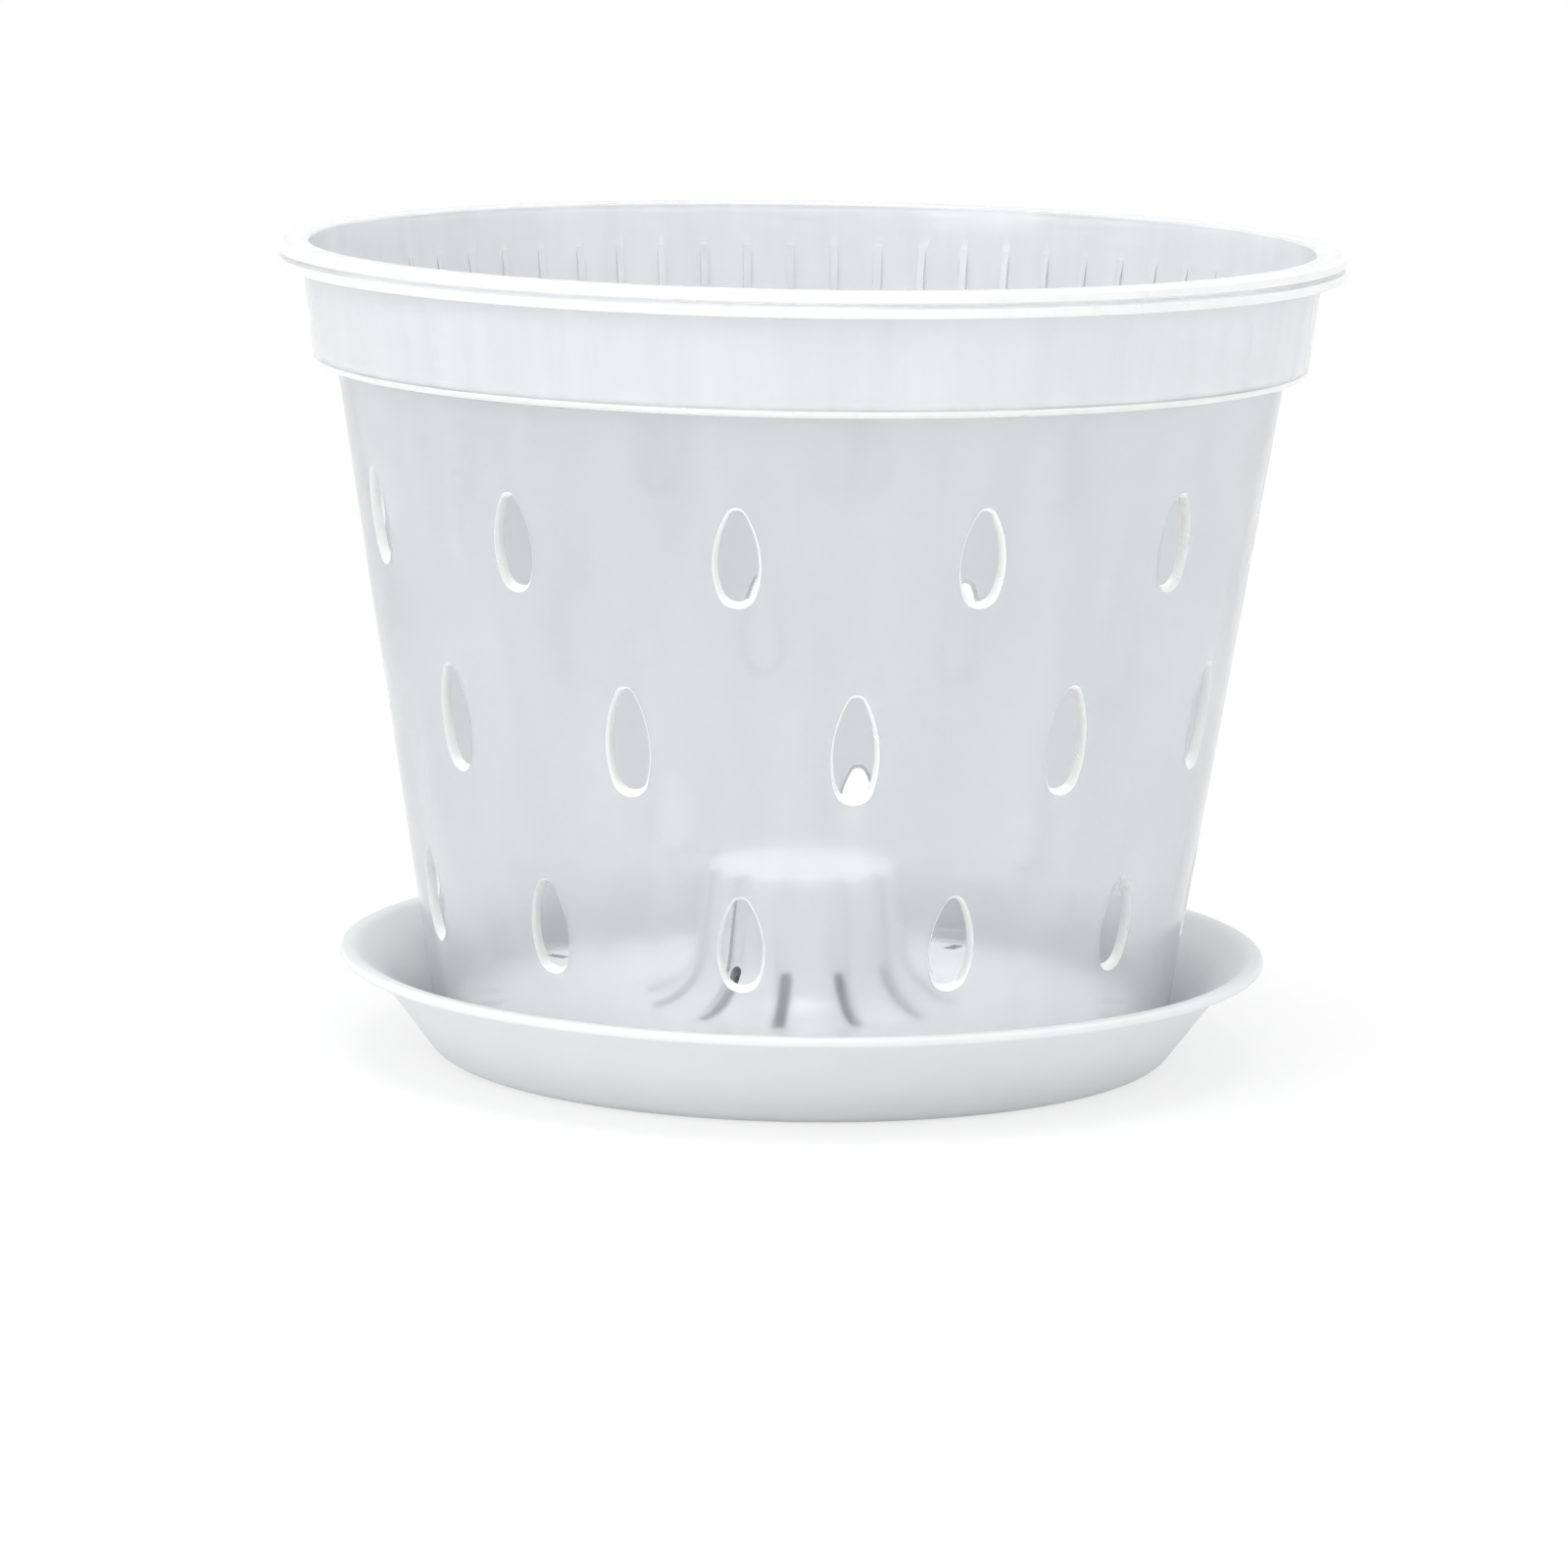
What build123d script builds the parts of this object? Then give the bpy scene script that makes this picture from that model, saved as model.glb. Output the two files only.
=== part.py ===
from build123d import *
import os
from math import atan2, cos, sin, tan

# Clear orchid pot with a slotted wall, standing in its white saucer. Sizes in millimetres.
# The axis of both pieces is Z, and the origin is on the surface under the saucer.
# Angles are turned from the front, which faces -Y, towards +X.

# Pot, outside sizes
pot_height = 114.0          # foot to rim
pot_wall = 1.3
rim_radius = 75.0
rim_thickness = 1.4
rim_lip_depth = 2.7         # the edge turns down into a lip
rim_lip_wall = 1.1
rim_edge_radius = 0.5
rim_overhang = 3.1          # rim to the top of the collar
collar_height = 17.2        # rim to the stacking ledge
collar_draft = 1.9          # the collar narrows downwards by this
collar_corner_radius = 1.2
ledge_width = 3.2           # collar to the top of the body
base_corner_radius = 3.0

# Ring that the pot stands on
foot_radius = 49.5
foot_height = 4.6
foot_wall = 1.6
foot_inset = 2.9            # to where the lines of body and base would meet
foot_chamfer = 0.4
foot_gap_count = 3
foot_gap_angle = 14.0
foot_gap_turn = 50.0

# Slots in the wall, clear size at the inner face
slots_per_row = 12
slot_turn = -8.5            # first slot of the upper and lower rows
slot_width = 5.8
slot_flare = 0.55           # the outer edge stands out by this all round
slot_tip_radius = 0.7
slot_foot_radius = 1.8
slot_waist_share = 0.4      # how far up the widest place is
upper_slot_drop = 19.0      # ledge to the middle of the slots
upper_slot_length = 14.2
middle_slot_rise = 46.5     # floor to the middle of the slots
middle_slot_length = 16.0
lower_slot_rise = 18.9
lower_slot_length = 14.4

# Stacking ribs inside the collar
rib_count = 66
rib_width = 0.9
rib_proud = 0.55
rib_height = 9.6

# Air cone in the middle of the floor
cone_height = 19.6
cone_top_radius = 13.4
cone_draft = 2.6            # the cone widens downwards by this
cone_edge_radius = 1.5
cone_flare_radius = 8.5
flute_count = 12
flute_width = 2.7
flute_depth = 0.7
air_slot_width = 1.8
air_slot_height = 6.4       # above the floor
air_slot_reach = 22.5       # out from the axis

# Drain slots through the floor
drain_count = 30
drain_turn = -6.5
drain_width = 1.8
drain_length = 3.4
drain_edge_gap = 1.4        # to the inside of the foot

# Saucer
saucer_height = 14.8
saucer_wall = 1.4
saucer_edge_radius = 0.5
saucer_land = 2.2           # flat at the edge of the rim
saucer_rim_bend = 3.0
saucer_rim_reach = 7.0      # neck to the edge of the rim
saucer_rim_rise = 3.4
saucer_neck_bend = 12.0
saucer_lean = 7.5           # the wall leans out by this, from the gutter to the neck
saucer_corner_radius = 2.2
platform_slope = 4.9        # gutter to the top of the raised middle
platform_edge_bend = 2.2
platform_foot_bend = 1.0

# Fits between the two, and the overrun of every cut
foot_fit = 0.9              # pot's foot to the saucer's wall
platform_fit = 1.0          # pot's foot to the raised middle
platform_gap = 0.6          # raised middle to the underside of the pot
overrun = 1.0

# Places worked out from the sizes
ledge_height = pot_height - collar_height
floor_top = foot_height + pot_wall
cone_top = floor_top + cone_height
collar_top_radius = rim_radius - rim_overhang
collar_foot_radius = collar_top_radius - collar_draft
body_top_radius = collar_foot_radius - ledge_width
body_foot_radius = foot_radius + foot_inset
foot_inner_radius = foot_radius - foot_wall
cone_foot_radius = cone_top_radius + cone_draft
seat_height = saucer_wall
body_taper = atan2(body_top_radius - body_foot_radius, ledge_height - foot_height)
collar_taper = atan2(collar_top_radius - collar_foot_radius, collar_height - rim_thickness)
flank_taper = atan2(cone_foot_radius - cone_top_radius, cone_height)


def body_radius(height):
    """Outside radius of the tapered body at a height above the foot."""
    return body_foot_radius + (height - foot_height) * tan(body_taper)


def collar_radius(height):
    """Outside radius of the collar at a height above the foot."""
    return collar_foot_radius + (height - ledge_height) * tan(collar_taper)


def ring_of(shape, count, first_angle):
    """Evenly spaced copies of a shape round the axis."""
    return [Rot(0, 0, first_angle + 360 / count * i) * shape for i in range(count)]


def outline_of(corners):
    """Closed face in radius and height, from corners of (radius, height, bend)."""
    points = [(radius, 0, height) for radius, height, _ in corners]
    return make_face(FilletPolyline(*points, radius=[bend for _, _, bend in corners], close=True))


def beside(corners, distance):
    """The same run of corners moved to its right by a distance, with bends to suit."""
    moved = []
    for i, (radius, height, bend) in enumerate(corners):
        before = corners[max(i - 1, 0)]
        after = corners[min(i + 1, len(corners) - 1)]
        arrive = atan2(height - before[1], radius - before[0]) if i > 0 else None
        leave = atan2(after[1] - height, after[0] - radius) if i < len(corners) - 1 else None
        arrive = leave if arrive is None else arrive
        leave = arrive if leave is None else leave
        middle, half = (arrive + leave) / 2, (leave - arrive) / 2
        reach = distance / cos(half)
        grown = bend + distance if half > 0 else bend - distance
        moved.append((radius + reach * sin(middle), height - reach * cos(middle), max(grown, 0)))
    return moved


def pot_shell():
    """Rim, collar, body, floor and air cone in one moulded wall, without openings."""
    rim_under = pot_height - rim_thickness
    lip_inner = rim_radius - rim_lip_wall
    lip_end = pot_height - rim_lip_depth
    inner_ledge = ledge_height + pot_wall
    body_across = pot_wall / cos(body_taper)
    collar_across = pot_wall / cos(collar_taper)
    groove_floor = [
        (0, cone_top, 0),
        (cone_top_radius - flute_depth, cone_top, cone_edge_radius),
        (cone_foot_radius - flute_depth, floor_top, cone_flare_radius),
        (body_foot_radius, floor_top, 0),
    ]
    return revolve(outline_of([
        *beside(groove_floor, pot_wall)[:-1],
        (body_foot_radius, foot_height, base_corner_radius),
        (body_top_radius, ledge_height, 0),
        (collar_foot_radius, ledge_height, collar_corner_radius),
        (collar_radius(rim_under), rim_under, 0),
        (lip_inner, rim_under, 0),
        (lip_inner, lip_end, 0),
        (rim_radius, lip_end, 0),
        (rim_radius, pot_height, rim_edge_radius),
        (collar_radius(pot_height) - collar_across, pot_height, rim_edge_radius),
        (collar_radius(inner_ledge) - collar_across, inner_ledge, 0),
        (body_radius(inner_ledge) - body_across, inner_ledge, 0),
        (body_radius(floor_top) - body_across, floor_top, base_corner_radius - pot_wall),
        (cone_foot_radius, floor_top, cone_flare_radius),
        (cone_top_radius, cone_top, cone_edge_radius),
        (0, cone_top, 0),
    ]), Axis.Z)


def foot_lengths():
    """Standing ring under the base, in lengths with a drain gap between each two."""
    root = foot_height + pot_wall / 2
    section = outline_of([
        (foot_inner_radius + foot_chamfer, 0, 0),
        (foot_radius - foot_chamfer, 0, 0),
        (foot_radius, foot_chamfer, 0),
        (foot_radius, root, 0),
        (foot_inner_radius, root, 0),
        (foot_inner_radius, foot_chamfer, 0),
    ])
    length = revolve(section, Axis.Z, 360 / foot_gap_count - foot_gap_angle)
    return ring_of(length, foot_gap_count, foot_gap_turn + foot_gap_angle / 2 - 90)


def stacking_ribs():
    """Thin upright ribs inside the collar, rooted in its wall and on the ledge."""
    low = ledge_height + pot_wall / 2
    high = ledge_height + pot_wall + rib_height
    root = pot_wall / 2
    face = pot_wall + rib_proud
    section = outline_of([
        (collar_radius(low) - root, low, 0),
        (collar_radius(high) - root, high, 0),
        (collar_radius(high) - pot_wall, high, 0),
        (collar_radius(high) - face, high - rib_proud, 0),
        (collar_radius(low) - face, low, 0),
    ])
    return ring_of(extrude(section, rib_width / 2, both=True), rib_count, 0)


def slot_end(half_width, reach, end_radius):
    """Side arc from the widest place to the small circle at one end: its middle and end."""
    rise = reach - end_radius
    side = (half_width**2 + rise**2 - end_radius**2) / (2 * (half_width - end_radius))
    turn = atan2(rise, side - half_width)
    bow = (half_width - side + side * cos(turn / 2), side * sin(turn / 2))
    touch = (half_width - side + side * cos(turn), side * sin(turn))
    return bow, touch


def slot_outline(plane, length, grow):
    """Teardrop on a plane, grown all round, with its narrow tip upwards."""
    half = slot_width / 2 + grow
    waist = length * (slot_waist_share - 1 / 2)
    top = length / 2 + grow - waist
    foot = length / 2 + grow + waist
    bow, touch = slot_end(half, top, slot_tip_radius + grow)
    low_bow, low_touch = slot_end(half, foot, slot_foot_radius + grow)
    right = [(half, 0), bow, touch, (0, top)]
    low_right = [(0, -foot), (low_touch[0], -low_touch[1]), (low_bow[0], -low_bow[1]), (half, 0)]
    left = [(-x, y) for x, y in reversed(right)]
    low_left = [(-x, y) for x, y in reversed(low_right)]
    arcs = [
        ThreePointArc(*[(x, y + waist) for x, y in arc])
        for arc in (
            right[:3],
            [touch, (0, top), left[1]],
            left[1:],
            low_left[:3],
            [low_left[2], (0, -foot), low_right[1]],
            low_right[1:],
        )
    ]
    return plane * make_face(Wire(arcs))


def slot_cutter(middle, length):
    """Flared cutter, square to the wall, for a slot at the front at this height."""
    out = Vector(0, -cos(body_taper), -sin(body_taper))
    face = Vector(0, -body_radius(middle), middle)
    slope = slot_flare / pot_wall
    sections = []
    for depth in (-pot_wall - overrun, overrun):
        plane = Plane(face + out * depth, x_dir=(1, 0, 0), z_dir=out)
        sections.append(slot_outline(plane, length, (pot_wall + depth) * slope))
    return loft(sections, ruled=True)


def wall_slots():
    """Three staggered rows of teardrop slots through the body."""
    half_pitch = 180 / slots_per_row
    lower = slot_cutter(floor_top + lower_slot_rise, lower_slot_length)
    middle = slot_cutter(floor_top + middle_slot_rise, middle_slot_length)
    upper = slot_cutter(ledge_height - upper_slot_drop, upper_slot_length)
    return [
        *ring_of(lower, slots_per_row, slot_turn),
        *ring_of(middle, slots_per_row, slot_turn + half_pitch),
        *ring_of(upper, slots_per_row, slot_turn),
    ]


def cone_flutes():
    """Shallow grooves down the flank of the air cone, which fade out on the floor."""
    above = cone_top + overrun
    clear = cone_foot_radius + cone_flare_radius + overrun
    section = outline_of([
        (cone_top_radius - flute_depth - overrun * tan(flank_taper), above, 0),
        (cone_foot_radius - flute_depth, floor_top, cone_flare_radius),
        (clear, floor_top, 0),
        (clear, above, 0),
    ])
    return ring_of(extrude(section, flute_width / 2, both=True), flute_count, slot_turn - 90)


def air_slots():
    """Narrow slots low in the grooves of the cone, out through its flare and the floor."""
    bend = air_slot_width / 2
    start = cone_top_radius - flute_depth - pot_wall - overrun
    top = floor_top + air_slot_height - bend
    shaft = top - foot_height + overrun
    plane = Plane((start, 0, top), x_dir=(0, 1, 0), z_dir=(1, 0, 0))
    face = plane * (Circle(bend) + Pos(0, -shaft / 2) * Rectangle(air_slot_width, shaft))
    return ring_of(extrude(face, air_slot_reach - start), flute_count, slot_turn - 90)


def drain_slots():
    """Short radial slots through the floor, just inside the foot."""
    middle = foot_inner_radius - drain_edge_gap - drain_length / 2
    plane = Plane((middle, 0, foot_height - overrun))
    cutter = extrude(plane * Rectangle(drain_length, drain_width), pot_wall + 2 * overrun)
    return ring_of(cutter, drain_count, drain_turn - 90)


def make_pot():
    """The pot in one piece, standing on its foot at height zero."""
    pot = pot_shell().fuse(*foot_lengths(), *stacking_ribs())
    return pot.cut(*cone_flutes(), *air_slots(), *drain_slots(), *wall_slots())


def make_saucer():
    """The saucer: raised middle, gutter for the pot's foot, leaning wall and flared rim."""
    platform_top = seat_height + foot_height - platform_gap
    platform_foot = foot_inner_radius - platform_fit
    gutter_edge = foot_radius + foot_fit + saucer_corner_radius / 2
    neck = gutter_edge + saucer_lean
    edge = neck + saucer_rim_reach
    top_side = [
        (0, platform_top, 0),
        (platform_foot - platform_slope, platform_top, platform_edge_bend),
        (platform_foot, seat_height, platform_foot_bend),
        (gutter_edge, seat_height, saucer_corner_radius),
        (neck, saucer_height - saucer_rim_rise, saucer_neck_bend),
        (edge - saucer_land, saucer_height, saucer_rim_bend),
        (edge, saucer_height, 0),
    ]
    return revolve(outline_of([
        *beside(top_side, saucer_wall)[:-1],
        (edge, saucer_height - saucer_wall, saucer_edge_radius),
        (edge, saucer_height, saucer_edge_radius),
        *reversed(top_side[:-1]),
    ]), Axis.Z)


os.makedirs("parts", exist_ok=True)
export_step(make_saucer(), "parts/saucer.step")
export_step(Pos(0, 0, seat_height) * make_pot(), "parts/pot.step")
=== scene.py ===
import bpy
from math import atan2, ceil, cos, dist, hypot, pi, radians, sin, tan
from mathutils import Matrix, Vector


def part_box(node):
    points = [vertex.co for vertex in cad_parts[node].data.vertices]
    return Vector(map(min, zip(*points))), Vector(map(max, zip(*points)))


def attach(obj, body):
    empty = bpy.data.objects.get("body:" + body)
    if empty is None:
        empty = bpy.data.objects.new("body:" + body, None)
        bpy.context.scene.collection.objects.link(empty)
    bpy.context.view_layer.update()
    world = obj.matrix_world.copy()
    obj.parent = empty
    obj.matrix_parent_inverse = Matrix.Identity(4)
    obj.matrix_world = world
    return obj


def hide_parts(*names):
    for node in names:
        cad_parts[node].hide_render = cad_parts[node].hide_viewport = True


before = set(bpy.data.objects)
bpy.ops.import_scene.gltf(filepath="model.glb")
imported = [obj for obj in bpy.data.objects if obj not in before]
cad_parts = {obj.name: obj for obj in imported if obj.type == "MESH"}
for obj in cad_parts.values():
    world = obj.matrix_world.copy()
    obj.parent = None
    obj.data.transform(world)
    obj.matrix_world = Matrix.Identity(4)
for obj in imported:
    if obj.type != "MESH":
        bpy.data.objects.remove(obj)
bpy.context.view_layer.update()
mm = 0.001  # sizes below are in millimetres, the scene is in metres
potLow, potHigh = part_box("pot")
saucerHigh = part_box("saucer")[1]
print("frame loaded: pot", [round(v, 4) for v in potHigh - potLow])


# helpers for the mesh work

samePoint = 0.001  # corners of a turned piece nearer than this are one


def clearSelection():
    if bpy.context.object and bpy.context.object.mode != "OBJECT":
        bpy.ops.object.mode_set(mode="OBJECT")
    bpy.ops.object.select_all(action="DESELECT")


def makeActive(piece):
    clearSelection()
    piece.select_set(True)
    bpy.context.view_layer.objects.active = piece


def roundedRun(corners, longest, arcStep):
    # corners are (radius, height, bend); bends become arcs with a point every few degrees,
    # and long straights get extra points
    run = []
    for i, (r, z, bend) in enumerate(corners):
        if bend <= 0 or i in (0, len(corners) - 1):
            run.append((r, z))
            continue
        before, after = Vector(corners[i - 1][:2]), Vector(corners[i + 1][:2])
        here = Vector((r, z))
        arrive, leave = (here - before).normalized(), (after - here).normalized()
        turn = arrive.angle_signed(leave)
        reach = bend * tan(abs(turn) / 2)
        steps = max(2, ceil(abs(turn) / radians(arcStep)))
        start = here - arrive * reach
        side = Vector((arrive.y, -arrive.x)) * (1 if turn > 0 else -1)
        centre = start + side * bend
        for k in range(steps + 1):
            swing = (start - centre).copy()
            swing.rotate(Matrix.Rotation(-turn * k / steps, 2))
            run.append(tuple(centre + swing))
    filled = [run[0]]
    for point in run[1:]:
        last = filled[-1]
        parts = max(1, ceil(dist(last, point) / longest))
        for k in range(1, parts + 1):
            filled.append((last[0] + (point[0] - last[0]) * k / parts,
                           last[1] + (point[1] - last[1]) * k / parts))
    return filled


def drawLine(name, points):
    # a chain of edges, drawn out of one vertex
    clearSelection()
    bpy.ops.mesh.primitive_plane_add(size=1, location=(0, 0, 0))
    piece = bpy.context.object
    piece.name = name
    bpy.ops.object.mode_set(mode="EDIT")
    bpy.ops.mesh.select_mode(type="VERT")
    bpy.ops.mesh.merge(type="CENTER")
    bpy.ops.transform.translate(value=points[0])
    for last, point in zip(points, points[1:]):
        bpy.ops.mesh.extrude_vertices_move(TRANSFORM_OT_translate={"value": point - last})
    return piece


def turnPiece(name, run, steps):
    # the run of (radius, height) spun round the axis, both ends closed on it
    piece = drawLine(name, [Vector((r, 0, z)) * mm for r, z in run])
    bpy.ops.mesh.select_all(action="SELECT")
    bpy.ops.mesh.spin(steps=steps, angle=2 * pi, center=(0, 0, 0), axis=(0, 0, 1))
    bpy.ops.mesh.select_all(action="SELECT")
    bpy.ops.mesh.remove_doubles(threshold=samePoint * mm)
    bpy.ops.mesh.normals_make_consistent(inside=False)
    bpy.ops.object.mode_set(mode="OBJECT")
    return piece


def pushSolid(name, outline, push):
    # a face drawn point by point and pushed out into a solid
    piece = drawLine(name, [Vector(point) * mm for point in outline])
    bpy.ops.mesh.select_all(action="SELECT")
    bpy.ops.mesh.edge_face_add()
    bpy.ops.mesh.extrude_region_move(TRANSFORM_OT_translate={"value": Vector(push) * mm})
    bpy.ops.mesh.select_all(action="SELECT")
    bpy.ops.mesh.normals_make_consistent(inside=False)
    bpy.ops.object.mode_set(mode="OBJECT")
    return piece


def copyRound(piece, count, firstTurn):
    # evenly spaced copies round the axis, each with its own mesh
    copies = []
    for i in range(count):
        copied = piece.copy()
        copied.data = piece.data.copy()
        bpy.context.scene.collection.objects.link(copied)
        copied.data.transform(Matrix.Rotation(radians(firstTurn + 360 / count * i), 4, "Z"))
        copies.append(copied)
    bpy.data.objects.remove(piece)
    return copies


def joinAll(name, pieces):
    clearSelection()
    for piece in pieces:
        piece.select_set(True)
    bpy.context.view_layer.objects.active = pieces[0]
    bpy.ops.object.join()
    joined = bpy.context.object
    joined.name = name
    return joined


def combine(piece, tool, operation):
    makeActive(piece)
    change = piece.modifiers.new("combine", "BOOLEAN")
    change.operation = operation
    change.solver = "EXACT"
    change.material_mode = "INDEX"
    change.object = tool
    bpy.ops.object.modifier_apply(modifier=change.name)
    bpy.data.objects.remove(tool)


def pickFaces(piece, wanted):
    makeActive(piece)
    bpy.ops.object.mode_set(mode="EDIT")
    bpy.ops.mesh.select_mode(type="FACE")
    bpy.ops.mesh.select_all(action="DESELECT")
    bpy.ops.object.mode_set(mode="OBJECT")
    for face in piece.data.polygons:
        face.select = wanted(face)
    bpy.ops.object.mode_set(mode="EDIT")


def wear(piece, materials, index=0):
    # gives a piece its materials, all its faces taking the one at the index
    piece.data.materials.clear()
    for material in materials:
        piece.data.materials.append(material)
    for face in piece.data.polygons:
        face.material_index = index


def smoothOver(piece, angle):
    makeActive(piece)
    bpy.ops.object.shade_smooth_by_angle(angle=radians(angle))


# the clear pot

pot = {
    "rimRadius": potHigh.x / mm,
    "height": (potHigh.z - potLow.z) / mm,
    "seat": potLow.z / mm,          # the foot stands this far above the ground
    "wall": 1.3,
    "rimThickness": 1.4,
    "lipDepth": 3.5,
    "lipWall": 1.1,
    "lipBend": 0.2,                 # inside the lip
    "lipEdge": 0.35,
    "grooveDrop": 1.8,              # rim to the middle of the groove round the lip
    "grooveWidth": 0.8,
    "grooveDepth": 0.35,
    "grooveEdge": 0.3,
    "grooveBend": 0.15,
    "rimEdge": 0.55,
    "rimOverhang": 3.1,
    "rimBend": 0.3,                 # where the collar meets the rim
    "collarHeight": 17.2,
    "collarDraft": 1.9,
    "collarCorner": 1.2,
    "ledgeWidth": 3.2,
    "ledgeBend": 0.25,              # where the body meets the ledge, and the same two places inside
    "collarInnerBend": 0.4,
    "bodyInnerBend": 0.5,
    "footRadius": 49.5,
    "footHeight": 4.6,
    "footWall": 1.6,
    "footInset": 2.9,
    "footEdge": 0.4,
    "footGap": 14,                  # degrees that each drain gap takes
    "footGaps": (50, 170, 290),     # and where they are, in degrees from the front
    "baseCorner": 3.0,
    "coneHeight": 19.6,
    "coneTop": 13.4,
    "coneDraft": 2.6,
    "coneEdge": 1.5,
    "coneFlare": 8.5,
    "steps": 360,
    "longest": 5,
    "arcStep": 13,
    "samePoint": 0.002,
    "smoothBelow": 32,
}
slots = {
    "count": 12,
    "turn": -8.5,
    "width": 5.3,
    "tip": 1.1,
    "foot": 2.1,
    "waist": 0.42,
    # middle of the row above the floor, length of its slots, and its shift in pitches
    "rows": ((17.9, 12.2, 0), (45.4, 14.0, 0.5), (71.5, 12.4, 0)),
    # distance out from the wall's face, and how much the slot has grown there
    "lips": ((-2.3, -0.1), (-1.3, 0), (-0.7, 0.12), (-0.35, 0.3), (-0.12, 0.5), (0, 0.68), (0.5, 1.6)),
    "flankSteps": 7,
    "tipSteps": 4,
}
ribs = {"count": 66, "turn": 90, "width": 1.1, "proud": 0.5, "height": 9.6, "runOut": 3}
flutes = {
    "count": 12,
    "width": 2.7,
    "depth": 0.7,
    "lift": 0.03,                   # the grooves end this far above the floor
    "longest": 100,
    "arcStep": 6,
    "sideways": 0.9,                # sides of the cutter lean over by at least this
}
airSlots = {"width": 1.8, "height": 6.4, "reach": 22.5, "archSteps": 8}
drains = {"count": 30, "turn": -6.5, "width": 1.8, "length": 3.4, "edgeGap": 1.4}
# painted highlight: which faces of the rim's lip, the collar's corner and the foot take the whiter edge
# plastic
paintedHighlightLimits = {
    "lipSlack": 0.1,                # taken in below the lip
    "cornerShare": 0.8,             # of the collar's corner, taken in from its outside
    "flattest": 0.15,               # slopes of the corner's faces that count as its round
    "steepest": 0.95,
}
overrun = 1  # a cutter reaches this far past what it cuts

ledge = pot["height"] - pot["collarHeight"]
floorTop = pot["footHeight"] + pot["wall"]
coneTopHeight = floorTop + pot["coneHeight"]
collarTop = pot["rimRadius"] - pot["rimOverhang"]
collarFoot = collarTop - pot["collarDraft"]
bodyTop = collarFoot - pot["ledgeWidth"]
bodyFoot = pot["footRadius"] + pot["footInset"]
coneFoot = pot["coneTop"] + pot["coneDraft"]
bodyTaper = atan2(bodyTop - bodyFoot, ledge - pot["footHeight"])
collarTaper = atan2(pot["collarDraft"], pot["collarHeight"] - pot["rimThickness"])
coneTaper = atan2(pot["coneDraft"], pot["coneHeight"])


def bodyRadius(height):
    return bodyFoot + (height - pot["footHeight"]) * tan(bodyTaper)


def collarRadius(height):
    return collarFoot + (height - ledge) * tan(collarTaper)


def beside(corners, distance):
    # the same run moved to its right, with bends to suit, and without its last corner
    moved = []
    for i in range(len(corners) - 1):
        r, z, bend = corners[i]
        leave = atan2(corners[i + 1][1] - z, corners[i + 1][0] - r)
        arrive = atan2(z - corners[i - 1][1], r - corners[i - 1][0]) if i else leave
        middle, half = (arrive + leave) / 2, (leave - arrive) / 2
        reach = distance / cos(half)
        grown = bend + distance if half > 0 else bend - distance
        moved.append((r + reach * sin(middle), z - reach * cos(middle), max(grown, 0)))
    return moved


def makePotShell():
    rimUnder = pot["height"] - pot["rimThickness"]
    lipInner = pot["rimRadius"] - pot["lipWall"]
    lipEnd = pot["height"] - pot["lipDepth"]
    groove = pot["height"] - pot["grooveDrop"]
    innerLedge = ledge + pot["wall"]
    bodyAcross = pot["wall"] / cos(bodyTaper)
    collarAcross = pot["wall"] / cos(collarTaper)
    grooveFloor = [
        (0, coneTopHeight, 0),
        (pot["coneTop"] - flutes["depth"], coneTopHeight, pot["coneEdge"]),
        (coneFoot - flutes["depth"], floorTop, pot["coneFlare"]),
        (bodyFoot, floorTop, 0),
    ]
    corners = [
        *beside(grooveFloor, pot["wall"]),
        (pot["footRadius"] - pot["footWall"], pot["footHeight"], 0),
        (pot["footRadius"], pot["footHeight"], 0),
        (bodyFoot, pot["footHeight"], pot["baseCorner"]),
        (bodyTop, ledge, pot["ledgeBend"]),
        (collarFoot, ledge, pot["collarCorner"]),
        (collarRadius(rimUnder), rimUnder, pot["rimBend"]),
        (lipInner, rimUnder, pot["lipBend"]),
        (lipInner, lipEnd, pot["lipBend"]),
        (pot["rimRadius"], lipEnd, pot["lipEdge"]),
        (pot["rimRadius"], groove - pot["grooveWidth"] / 2, pot["grooveEdge"]),
        (pot["rimRadius"] - pot["grooveDepth"], groove, pot["grooveBend"]),
        (pot["rimRadius"], groove + pot["grooveWidth"] / 2, pot["grooveEdge"]),
        (pot["rimRadius"], pot["height"], pot["rimEdge"]),
        (collarRadius(pot["height"]) - collarAcross, pot["height"], pot["rimEdge"]),
        (collarRadius(innerLedge) - collarAcross, innerLedge, pot["collarInnerBend"]),
        (bodyRadius(innerLedge) - bodyAcross, innerLedge, pot["bodyInnerBend"]),
        (bodyRadius(floorTop) - bodyAcross, floorTop, pot["baseCorner"] - pot["wall"]),
        (coneFoot, floorTop, pot["coneFlare"]),
        (pot["coneTop"], coneTopHeight, pot["coneEdge"]),
        (0, coneTopHeight, 0),
    ]
    return turnPiece("clearPot", roundedRun(corners, pot["longest"], pot["arcStep"]), pot["steps"])


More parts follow.
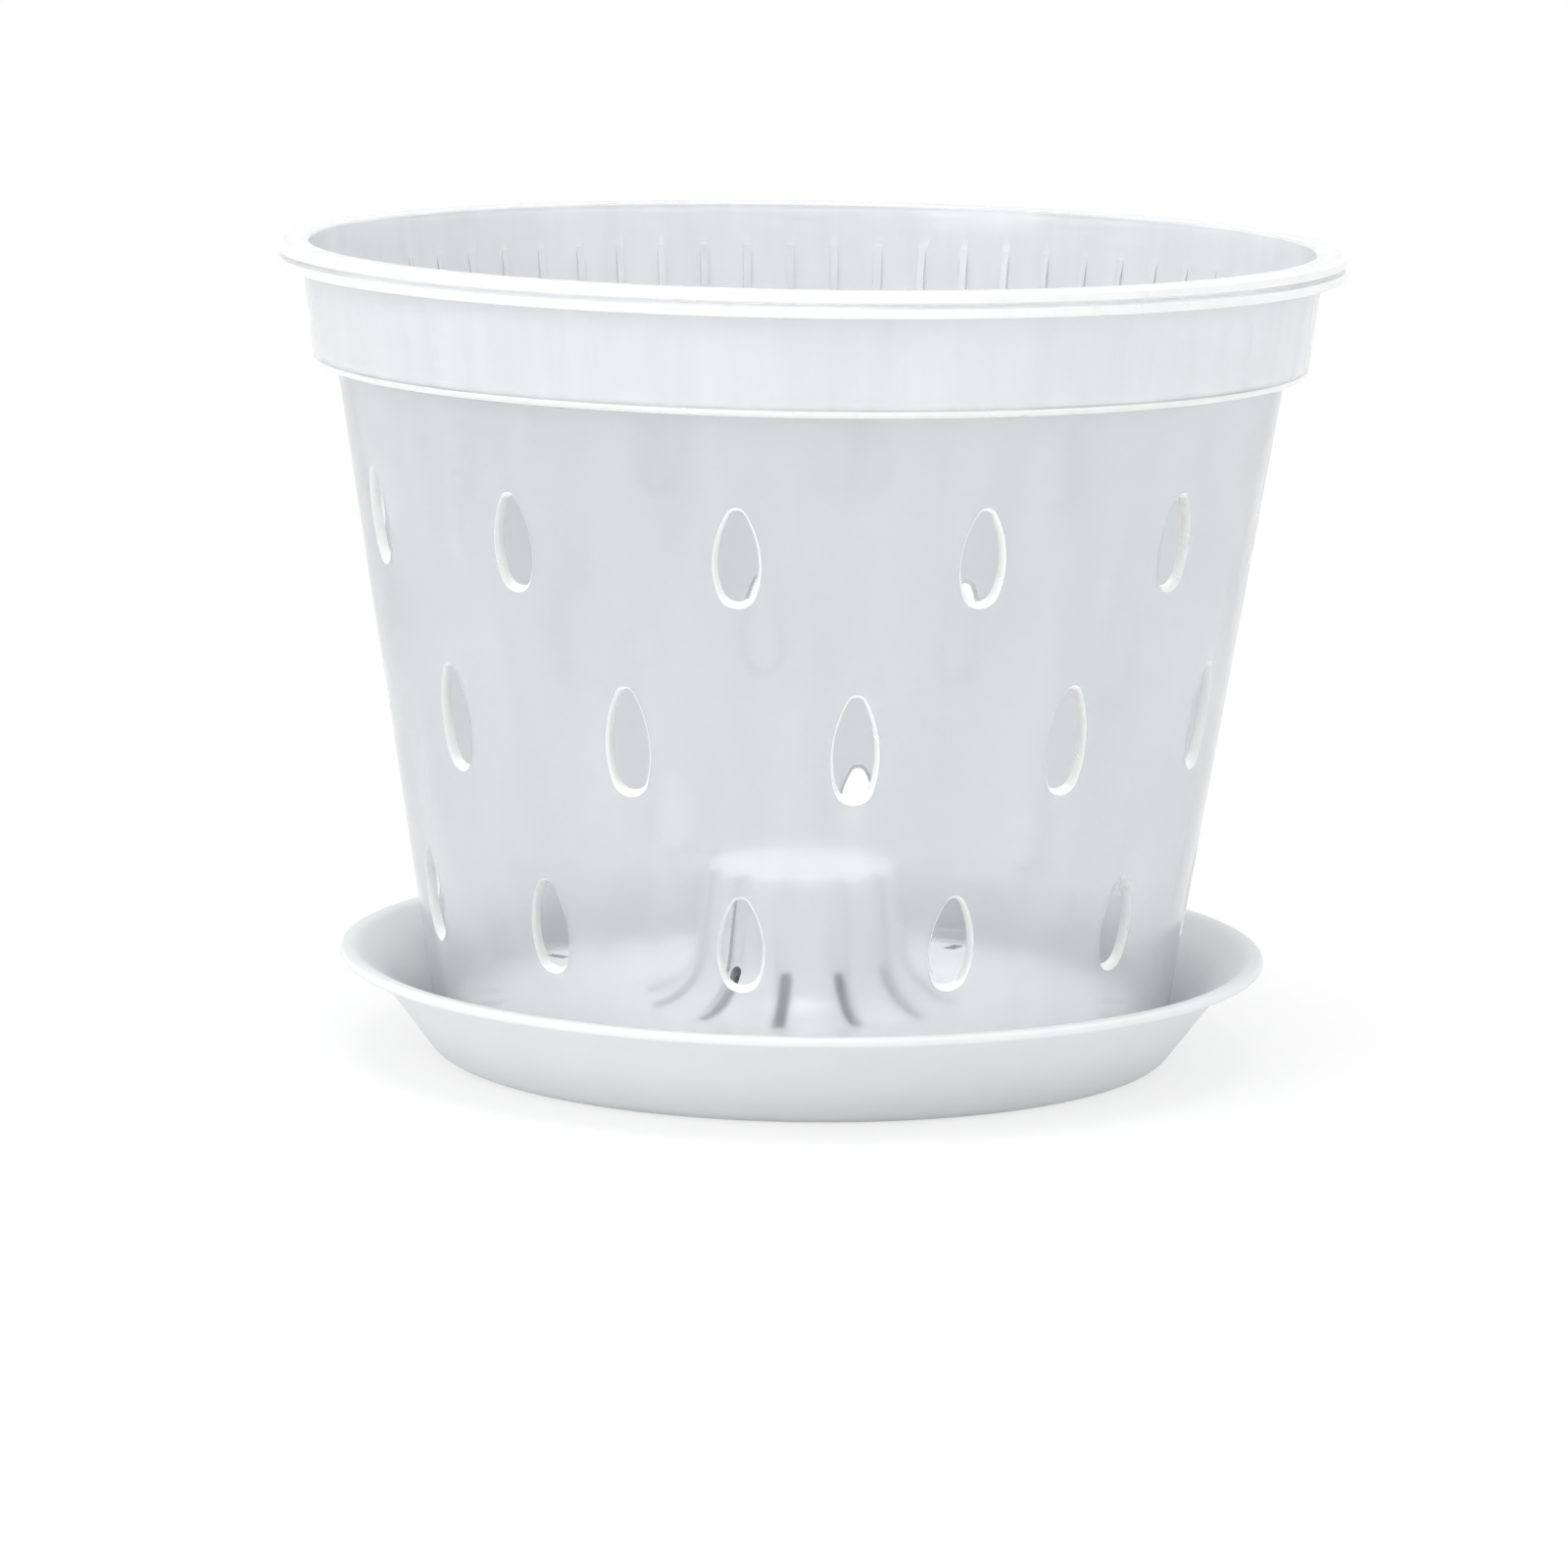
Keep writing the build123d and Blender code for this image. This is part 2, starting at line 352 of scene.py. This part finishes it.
def drawFoot(piece):
    # the standing ring is drawn down from the base, with its three drain gaps left out
    inner, outer = pot["footRadius"] - pot["footWall"], pot["footRadius"]

    def underFoot(face):
        x, y, z = face.center / mm
        turn = atan2(x, -y) / pi * 180
        away = min(abs((turn - gap + 180) % 360 - 180) for gap in pot["footGaps"])
        return inner < hypot(x, y) < outer and z < floorTop and away > pot["footGap"] / 2

    pickFaces(piece, underFoot)
    down = {"value": (0, 0, -pot["footHeight"] * mm)}
    bpy.ops.mesh.extrude_region_move(TRANSFORM_OT_translate=down)
    bpy.ops.mesh.region_to_loop()
    bpy.ops.mesh.bevel(offset=pot["footEdge"] * mm, segments=2, affect="EDGES")
    bpy.ops.object.mode_set(mode="OBJECT")


def quarterTeardrop(half, reach, radius):
    # from the widest place along the flank and round the slot's end
    rise = reach - radius
    side = (half ** 2 + rise ** 2 - radius ** 2) / (2 * (half - radius))
    turn = atan2(rise, side - half)
    points = []
    for k in range(slots["flankSteps"]):
        swing = turn * k / slots["flankSteps"]
        points.append((half - side + side * cos(swing), side * sin(swing)))
    for k in range(slots["tipSteps"] + 1):
        swing = turn + (pi / 2 - turn) * k / slots["tipSteps"]
        points.append((radius * cos(swing), rise + radius * sin(swing)))
    return points


def teardrop(length):
    # outline of a slot, its narrow tip upwards, from the widest place round to it again
    half = slots["width"] / 2
    waist = length * (slots["waist"] - 1 / 2)
    right = quarterTeardrop(half, length / 2 - waist, slots["tip"])
    low = quarterTeardrop(half, length / 2 + waist, slots["foot"])
    left = [(-x, y) for x, y in reversed(right[:-1])]
    lowLeft = [(-x, -y) for x, y in low[1:]]
    lowRight = [(-x, y) for x, y in reversed(lowLeft[:-1])]
    return [(x, y + waist) for x, y in right + left + lowLeft + lowRight]


def makeSlotCutter(rise, length):
    # drawn flat, pushed out lip by lip, and then set square to the wall at the front
    outline = teardrop(length)
    (out, grown), *lips = slots["lips"]
    piece = drawLine("slotCutter", [Vector((x, y, out)) * mm for x, y in outline])
    bpy.ops.mesh.select_all(action="SELECT")
    bpy.ops.mesh.edge_face_add()
    for nextOut, nextGrown in lips:
        bpy.ops.mesh.extrude_region_move(TRANSFORM_OT_translate={"value": (0, 0, (nextOut - out) * mm)})
        across = (slots["width"] / 2 + nextGrown) / (slots["width"] / 2 + grown)
        along = (length / 2 + nextGrown) / (length / 2 + grown)
        bpy.ops.transform.resize(value=(across, along, 1), center_override=(0, 0, nextOut * mm))
        out, grown = nextOut, nextGrown
    bpy.ops.mesh.select_all(action="SELECT")
    bpy.ops.mesh.normals_make_consistent(inside=False)
    bpy.ops.object.mode_set(mode="OBJECT")
    height = floorTop + rise
    piece.rotation_euler = (pi / 2 + bodyTaper, 0, 0)
    piece.location = (0, -bodyRadius(height) * mm, height * mm)
    bpy.ops.object.transform_apply(location=True, rotation=True, scale=True)
    return piece


def makeFluteCutter():
    # a plate whose edge follows the cone, a little deeper than its flank
    above = coneTopHeight + overrun
    clear = coneFoot + pot["coneFlare"] + overrun
    base = floorTop + flutes["lift"]
    profile = roundedRun([
        (clear, above, 0),
        (pot["coneTop"] - flutes["depth"] - overrun * tan(coneTaper), above, 0),
        (coneFoot - flutes["depth"], base, pot["coneFlare"]),
        (clear, base, 0),
    ], flutes["longest"], flutes["arcStep"])
    half = flutes["width"] / 2
    return pushSolid("fluteCutter", [(half, -r, z) for r, z in profile], (-flutes["width"], 0, 0))


def makeAirSlotCutter():
    # a round-topped bar that runs out from inside the cone
    half = airSlots["width"] / 2
    top = floorTop + airSlots["height"] - half
    start = pot["coneTop"] - flutes["depth"] - pot["wall"] - overrun
    steps = airSlots["archSteps"]
    arch = [(half * cos(pi * k / steps), top + half * sin(pi * k / steps)) for k in range(steps + 1)]
    outline = [*arch, (-half, pot["footHeight"] - overrun), (half, pot["footHeight"] - overrun)]
    return pushSolid("airSlotCutter", [(x, -start, z) for x, z in outline], (0, start - airSlots["reach"], 0))


def makeDrainCutter():
    half, outer = drains["width"] / 2, pot["footRadius"] - pot["footWall"] - drains["edgeGap"]
    base, inner = pot["footHeight"] - overrun, outer - drains["length"]
    outline = [(half, -inner, base), (-half, -inner, base), (-half, -outer, base), (half, -outer, base)]
    return pushSolid("drainCutter", outline, (0, 0, pot["wall"] + 2 * overrun))


def makeRib():
    low, high = ledge + pot["wall"] / 2, ledge + pot["wall"] + ribs["height"]
    root, face = pot["wall"] / 2, pot["wall"] + ribs["proud"]
    half = ribs["width"] / 2
    profile = [
        (collarRadius(low) - root, low),
        (collarRadius(high) - root, high),
        (collarRadius(high) - pot["wall"], high),
        (collarRadius(high - ribs["runOut"]) - face, high - ribs["runOut"]),
        (collarRadius(low) - face, low),
    ]
    return pushSolid("rib", [(half, -r, z) for r, z in profile], (-ribs["width"], 0, 0))


def takesPaintedHighlight(face):
    # the rounded corners of rim, ledge and foot, which get the whiter, cloudier copy of the clear plastic as
    # a painted highlight
    x, y, z = face.center / mm
    r = hypot(x, y)
    below = pot["height"] - z
    rim = r > pot["rimRadius"] - pot["lipWall"] / 2 and below < pot["lipDepth"] + paintedHighlightLimits["lipSlack"]
    rim = rim and abs(below - pot["grooveDrop"]) > pot["grooveWidth"] / 2
    corner = abs(z - ledge) < pot["collarCorner"]
    corner = corner and r > collarFoot - pot["collarCorner"] * paintedHighlightLimits["cornerShare"]
    corner = corner and paintedHighlightLimits["flattest"] < -face.normal.z < paintedHighlightLimits["steepest"]
    foot = z < pot["footEdge"] and r > pot["footRadius"] - pot["footEdge"]
    return rim or corner or foot


def makeClearPot(materials):
    # the materials are those of the plain wall, the edges with a painted highlight and the ribs with painted
    # pale light
    piece = makePotShell()
    drawFoot(piece)
    wear(piece, materials)
    for face in piece.data.polygons:
        # painted highlight on the rounded edges
        if takesPaintedHighlight(face):
            face.material_index = 1
    print("pot shell turned:", len(piece.data.vertices), "vertices")
    openings = []
    for rise, length, shift in slots["rows"]:
        cutter = makeSlotCutter(rise, length)
        # painted highlight: the slots' cut faces take the whiter edge plastic
        wear(cutter, materials, 1)
        openings += copyRound(cutter, slots["count"], slots["turn"] + shift * 360 / slots["count"])
    flute = makeFluteCutter()
    wear(flute, materials)
    # painted highlight: the steep sides of the flutes take the whiter edge plastic
    for face in flute.data.polygons:
        if abs(face.normal.x) > flutes["sideways"]:
            face.material_index = 1
    drain = makeDrainCutter()
    wear(drain, materials)
    openings += copyRound(flute, flutes["count"], slots["turn"])
    openings += copyRound(drain, drains["count"], drains["turn"])
    combine(piece, joinAll("cutters", openings), "DIFFERENCE")
    print("slots, flutes and drains cut:", len(piece.data.vertices), "vertices")
    doors = copyRound(makeAirSlotCutter(), flutes["count"], slots["turn"])
    bars = copyRound(makeRib(), ribs["count"], ribs["turn"])
    for cutter in doors:
        wear(cutter, materials)
    for bar in bars:
        # painted light: the ribs take the paler rib plastic
        wear(bar, materials, 2)
    combine(piece, joinAll("doors", doors), "DIFFERENCE")
    combine(piece, joinAll("bars", bars), "UNION")
    makeActive(piece)
    bpy.ops.object.mode_set(mode="EDIT")
    bpy.ops.mesh.select_all(action="SELECT")
    bpy.ops.mesh.remove_doubles(threshold=pot["samePoint"] * mm)
    bpy.ops.transform.translate(value=(0, 0, pot["seat"] * mm))
    bpy.ops.object.mode_set(mode="OBJECT")
    smoothOver(piece, pot["smoothBelow"])
    print("pot finished:", len(piece.data.polygons), "faces")
    return piece


# the white saucer

saucer = {
    "height": saucerHigh.z / mm,
    "wall": 1.4,
    "edgeRound": 0.6,
    "land": 2.2,
    "rimBend": 3.0,
    "rimReach": 7.0,
    "rimRise": 3.4,
    "neckBend": 12.0,
    "lean": 7.5,
    "corner": 2.2,
    "slope": 4.9,
    "platformEdge": 2.2,
    "platformFoot": 1.0,
    "footFit": 0.9,
    "platformFit": 1.0,
    "platformGap": 0.6,
    "steps": 288,
    "longest": 6,
    "arcStep": 9,
    "smoothBelow": 40,
}


def makeWhiteSaucer(materials):
    platformTop = saucer["wall"] + pot["footHeight"] - saucer["platformGap"]
    platformFoot = pot["footRadius"] - pot["footWall"] - saucer["platformFit"]
    gutterEdge = pot["footRadius"] + saucer["footFit"] + saucer["corner"] / 2
    neck = gutterEdge + saucer["lean"]
    edge = neck + saucer["rimReach"]
    topSide = [
        (0, platformTop, 0),
        (platformFoot - saucer["slope"], platformTop, saucer["platformEdge"]),
        (platformFoot, saucer["wall"], saucer["platformFoot"]),
        (gutterEdge, saucer["wall"], saucer["corner"]),
        (neck, saucer["height"] - saucer["rimRise"], saucer["neckBend"]),
        (edge - saucer["land"], saucer["height"], saucer["rimBend"]),
        (edge, saucer["height"], 0),
    ]
    corners = [
        *beside(topSide, saucer["wall"]),
        (edge, saucer["height"] - saucer["wall"], saucer["edgeRound"]),
        (edge, saucer["height"], saucer["edgeRound"]),
        *reversed(topSide[:-1]),
    ]
    run = roundedRun(corners, saucer["longest"], saucer["arcStep"])
    piece = turnPiece("whiteSaucer", run, saucer["steps"])
    wear(piece, materials)
    smoothOver(piece, saucer["smoothBelow"])
    print("saucer finished:", len(piece.data.polygons), "faces")
    return piece


# materials

def newMaterial(name):
    material = bpy.data.materials.new(name)
    material.use_nodes = True
    nodes = material.node_tree.nodes
    return material, nodes, material.node_tree.links, nodes["Principled BSDF"]


def addNoise(nodes, links, place, scale, detail):
    noise = nodes.new("ShaderNodeTexNoise")
    noise.inputs["Scale"].default_value = scale
    noise.inputs["Detail"].default_value = detail
    links.new(place, noise.inputs["Vector"])
    return noise.outputs["Fac"]


def mapTo(nodes, links, value, low, high, fromLow=0.3, fromHigh=0.7):
    ranged = nodes.new("ShaderNodeMapRange")
    ranged.inputs["From Min"].default_value = fromLow
    ranged.inputs["From Max"].default_value = fromHigh
    ranged.inputs["To Min"].default_value = low
    ranged.inputs["To Max"].default_value = high
    links.new(value, ranged.inputs["Value"])
    return ranged.outputs["Result"]


def addBump(nodes, links, height, distance, strength, below=None):
    bump = nodes.new("ShaderNodeBump")
    bump.inputs["Distance"].default_value = distance * mm
    bump.inputs["Strength"].default_value = strength
    links.new(height, bump.inputs["Height"])
    if below:
        links.new(below, bump.inputs["Normal"])
    return bump.outputs["Normal"]


def times(nodes, links, first, second):
    product = nodes.new("ShaderNodeMath")
    product.operation = "MULTIPLY"
    links.new(first, product.inputs[0])
    links.new(second, product.inputs[1])
    return product.outputs[0]


def addLength(nodes, links, vector):
    length = nodes.new("ShaderNodeVectorMath")
    length.operation = "LENGTH"
    links.new(vector, length.inputs[0])
    return length.outputs["Value"]


def blendColours(nodes, links, first, second, share):
    blend = nodes.new("ShaderNodeMix")
    blend.data_type = "RGBA"
    blend.inputs["A"].default_value = first
    blend.inputs["B"].default_value = second
    links.new(share, blend.inputs["Factor"])
    return blend.outputs["Result"]


everyClear = {
    "index": 1.45,
    "flowDetail": 3,
    "flowClear": (1.08, 0.96),      # how clear the flow lines are, beside the plastic's own share
    "cloudScale": 38,
    "cloudDetail": 2,
    "cloudBump": 0.35,
    "bumpStrength": 0.25,
    "facingRange": (0.25, 0.85),    # from facing the eye to edge-on
    "collarFade": 2,                # height over which the collar's painted whiter haze sets in
}
clearPlastic = {
    "colour": (0.945, 0.953, 0.968, 1),
    "clearFacing": 0.8,             # share that passes light where the wall faces the eye
    "clearEdgeOn": 0.78,            # and where it is seen edge-on
    "paintedLightMiddle": 0.25,           # what is left of that share round the air cone, a cloudier, whiter middle that is painted light for the lit cone and floor
    "paintedLightReach": (46, 50.5),      # up to here from the axis, and gone from there on
    "paintedLightCollar": 0.68,           # and what is left of it in the collar, a whiter haze that is painted light too
    "roughLow": 0.08,
    "roughHigh": 0.16,
    "streaks": (120, 120, 9),
}
# painted highlight: a whiter, cloudier copy of the clear plastic for the edges, so that they read as bright
# lines
paintedHighlightPlastic = {
    "colour": (0.97, 0.97, 0.97, 1),
    "clearFacing": 0.35,
    "clearEdgeOn": 0.25,
    "paintedLightMiddle": 1,
    "paintedLightReach": (14, 46),
    "paintedLightCollar": 1,
    "roughLow": 0.2,
    "roughHigh": 0.3,
    "streaks": (260, 260, 14),
}
# painted light: a paler, cloudier copy of the clear plastic for the ribs, so that they read as faint pale
# bars and not dark ticks
ribPaintedLight = {
    "colour": (0.96, 0.965, 0.97, 1),
    "clearFacing": 0.6,
    "clearEdgeOn": 0.5,
    "paintedLightMiddle": 1,
    "paintedLightReach": (14, 46),
    "paintedLightCollar": 1,
    "roughLow": 0.15,
    "roughHigh": 0.25,
    "streaks": (260, 260, 14),
}


def makeClearPlastic(name, look):
    material, nodes, links, shader = newMaterial(name)
    place = nodes.new("ShaderNodeTexCoord").outputs["Object"]
    stretch = nodes.new("ShaderNodeMapping")   # draws the flow lines out along the height
    stretch.inputs["Scale"].default_value = look["streaks"]
    links.new(place, stretch.inputs["Vector"])
    flow = addNoise(nodes, links, stretch.outputs["Vector"], 1, everyClear["flowDetail"])
    cloud = addNoise(nodes, links, place, everyClear["cloudScale"], everyClear["cloudDetail"])
    level = nodes.new("ShaderNodeVectorMath")   # leaves the height out, for the distance from the axis
    level.operation = "MULTIPLY"
    level.inputs[1].default_value = (1, 1, 0)
    links.new(place, level.inputs[0])
    away = addLength(nodes, links, level.outputs["Vector"])
    height = nodes.new("ShaderNodeSeparateXYZ")
    links.new(place, height.inputs["Vector"])
    edgeOn = nodes.new("ShaderNodeLayerWeight").outputs["Facing"]
    near, far = look["paintedLightReach"]
    low = (pot["seat"] + ledge) * mm
    high = low + everyClear["collarFade"] * mm
    clear = mapTo(nodes, links, edgeOn, look["clearFacing"], look["clearEdgeOn"], *everyClear["facingRange"])
    # painted light: the middle round the cone and the collar pass less light, so they read whiter there
    for share in (
        mapTo(nodes, links, flow, *everyClear["flowClear"]),
        mapTo(nodes, links, away, look["paintedLightMiddle"], 1, near * mm, far * mm),
        mapTo(nodes, links, height.outputs["Z"], 1, look["paintedLightCollar"], low, high),
    ):
        clear = times(nodes, links, clear, share)
    shader.inputs["Base Color"].default_value = look["colour"]
    shader.inputs["IOR"].default_value = everyClear["index"]
    links.new(mapTo(nodes, links, cloud, look["roughLow"], look["roughHigh"]), shader.inputs["Roughness"])
    links.new(clear, shader.inputs["Transmission Weight"])
    bump = addBump(nodes, links, cloud, everyClear["cloudBump"], everyClear["bumpStrength"])
    links.new(bump, shader.inputs["Normal"])
    return material


whitePlastic = {
    "colour": (0.74, 0.75, 0.76, 1),
    "shade": (0.71, 0.72, 0.73, 1),
    "roughLow": 0.3,
    "roughHigh": 0.42,
    "cloudScale": 45,
    "cloudDetail": 3,
    "cloudBump": 0.2,
    "cloudStrength": 0.2,
    "grainScale": 2200,
    "grainDetail": 2,
    "grainBump": 0.02,
    "grainStrength": 0.25,
    "lightInside": 0.15,            # share of the light that goes into the plastic and comes out again
    "lightReach": 2,
}


def makeWhitePlastic():
    look = whitePlastic
    material, nodes, links, shader = newMaterial("whitePlastic")
    place = nodes.new("ShaderNodeTexCoord").outputs["Object"]
    cloud = addNoise(nodes, links, place, look["cloudScale"], look["cloudDetail"])
    grain = addNoise(nodes, links, place, look["grainScale"], look["grainDetail"])
    colour = blendColours(nodes, links, look["colour"], look["shade"], mapTo(nodes, links, cloud, 0, 1))
    links.new(colour, shader.inputs["Base Color"])
    links.new(mapTo(nodes, links, grain, look["roughLow"], look["roughHigh"]), shader.inputs["Roughness"])
    waves = addBump(nodes, links, cloud, look["cloudBump"], look["cloudStrength"])
    bump = addBump(nodes, links, grain, look["grainBump"], look["grainStrength"], waves)
    links.new(bump, shader.inputs["Normal"])
    shader.inputs["Subsurface Weight"].default_value = look["lightInside"]
    shader.inputs["Subsurface Radius"].default_value = (1, 1, 1)
    shader.inputs["Subsurface Scale"].default_value = look["lightReach"] * mm
    return material


# the studio

studio = {
    "floorReach": 6,
    "floorColour": (0.86, 0.86, 0.86, 1),
    "floorThroughShade": (0.48, 0.48, 0.49, 1),   # the floor as the plastic shows it, darker than the floor itself: painted shade in what is seen through the plastic
    "floorRough": 0.8,
    "whiteNear": 0.7,               # how much of the floor the camera sees as plain white, at the object
    "whiteFar": 1,                  # and away from it
    "nearReach": 0.11,
    "farReach": 0.4,
    "roomGrey": 0.95,
    "lamps": (
        # name, place, size, strength in watts
        ("keyLamp", (-0.7, -0.75, 0.6), 0.6, 3.0),
        ("fillLamp", (0.8, -0.6, 0.4), 0.6, 0.6),
        ("topLamp", (-0.05, -0.12, 0.95), 0.5, 4.5),
    ),
    "aim": (0, 0, 0.06),
}


def seenShare(nodes, links, through):
    # 1 where the camera sees straight or in a mirror, and the given share through the plastic,
    # where a ray counts as glossy too
    path = nodes.new("ShaderNodeLightPath")
    total = path.outputs["Is Camera Ray"]
    for ray, share in (("Is Glossy Ray", 1), ("Is Transmission Ray", through - 1)):
        add = nodes.new("ShaderNodeMath")
        add.operation = "MULTIPLY_ADD"
        add.use_clamp = True
        add.inputs[1].default_value = share
        links.new(path.outputs[ray], add.inputs[0])
        links.new(total, add.inputs[2])
        total = add.outputs[0]
    return total


def makeFloor():
    clearSelection()
    bpy.ops.mesh.primitive_plane_add(size=2 * studio["floorReach"], location=(0, 0, 0))
    floor = bpy.context.object
    floor.name = "floor"
    material, nodes, links, shader = newMaterial("paleFloor")
    # painted shade: rays through the plastic see the darker floor colour
    through = nodes.new("ShaderNodeLightPath").outputs["Is Transmission Ray"]
    colour = blendColours(nodes, links, studio["floorColour"], studio["floorThroughShade"], through)
    links.new(colour, shader.inputs["Base Color"])
    shader.inputs["Roughness"].default_value = studio["floorRough"]
    glow = nodes.new("ShaderNodeEmission")
    mix = nodes.new("ShaderNodeMixShader")
    away = addLength(nodes, links, nodes.new("ShaderNodeTexCoord").outputs["Object"])
    white = mapTo(nodes, links, away, studio["whiteNear"], studio["whiteFar"],
                  studio["nearReach"], studio["farReach"])
    links.new(times(nodes, links, white, seenShare(nodes, links, 0)), mix.inputs["Fac"])
    links.new(shader.outputs["BSDF"], mix.inputs[1])
    links.new(glow.outputs["Emission"], mix.inputs[2])
    links.new(mix.outputs["Shader"], nodes["Material Output"].inputs["Surface"])
    floor.data.materials.append(material)


def makeRoom():
    world = bpy.data.worlds.new("room")
    bpy.context.scene.world = world
    world.use_nodes = True
    nodes, links = world.node_tree.nodes, world.node_tree.links
    lit, seen = nodes["Background"], nodes.new("ShaderNodeBackground")
    lit.inputs["Color"].default_value = (1, 1, 1, 1)
    lit.inputs["Strength"].default_value = studio["roomGrey"]
    seen.inputs["Color"].default_value = (1, 1, 1, 1)
    mix = nodes.new("ShaderNodeMixShader")
    links.new(seenShare(nodes, links, 0), mix.inputs["Fac"])
    links.new(lit.outputs["Background"], mix.inputs[1])
    links.new(seen.outputs["Background"], mix.inputs[2])
    links.new(mix.outputs["Shader"], nodes["World Output"].inputs["Surface"])


def makeLamps():
    for name, place, size, strength in studio["lamps"]:
        clearSelection()
        bpy.ops.object.light_add(type="AREA", location=place)
        lamp = bpy.context.object
        lamp.name = name
        lamp.data.size = size
        lamp.data.energy = strength
        towards = Vector(studio["aim"]) - Vector(place)
        lamp.rotation_euler = towards.to_track_quat("-Z", "Y").to_euler()


# the camera stands where the photograph was taken from, worked out from the pot's own outlines

camera = {
    "away": 0.940,                  # from the point on the axis that it was fitted to
    "fittedHeight": 0.056,          # of that point above the pot's foot
    "pitch": 8.41,
    "roll": 0.885,
    "focal": 6744.2,                # in pixels of the 1600 pixel frame
    "frame": 1600,
    "axisPixel": (822.7, 663.5),    # where that point shows
    "sensor": 36,
    "nearest": 0.01,
}


def makeCamera():
    pitch, roll = radians(camera["pitch"]), radians(camera["roll"])
    aim = Vector((0, 0, potLow.z + camera["fittedHeight"]))
    ahead = Vector((0, cos(pitch), -sin(pitch)))
    up = Vector((0, sin(pitch), cos(pitch)))
    place = aim - ahead * camera["away"]
    right = camera["frame"] / 2 - camera["axisPixel"][0]
    down = camera["frame"] / 2 - camera["axisPixel"][1]
    across = right * cos(roll) + down * sin(roll)
    below = down * cos(roll) - right * sin(roll)
    towards = (ahead * camera["focal"] + Vector((1, 0, 0)) * across - up * below).normalized()
    clearSelection()
    bpy.ops.object.camera_add(location=place)
    view = bpy.context.object
    view.name = "camera"
    level = towards.to_track_quat("-Z", "Y").to_matrix().to_4x4()
    view.matrix_world = Matrix.Translation(place) @ level @ Matrix.Rotation(roll, 4, "Z")
    view.data.sensor_width = camera["sensor"]
    view.data.lens = camera["focal"] / camera["frame"] * camera["sensor"]
    view.data.clip_start = camera["nearest"]
    bpy.context.scene.camera = view


clearPot = makeClearPot([
    makeClearPlastic("clearPlastic", clearPlastic),
    makeClearPlastic("paintedHighlightPlastic", paintedHighlightPlastic),
    makeClearPlastic("ribPaintedLight", ribPaintedLight),
])
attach(clearPot, "pot")
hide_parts("pot")

whiteSaucer = makeWhiteSaucer([makeWhitePlastic()])
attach(whiteSaucer, "saucer")
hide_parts("saucer")

makeFloor()
makeRoom()
makeLamps()
makeCamera()
bpy.context.scene.view_settings.view_transform = "Standard"
print("studio ready")
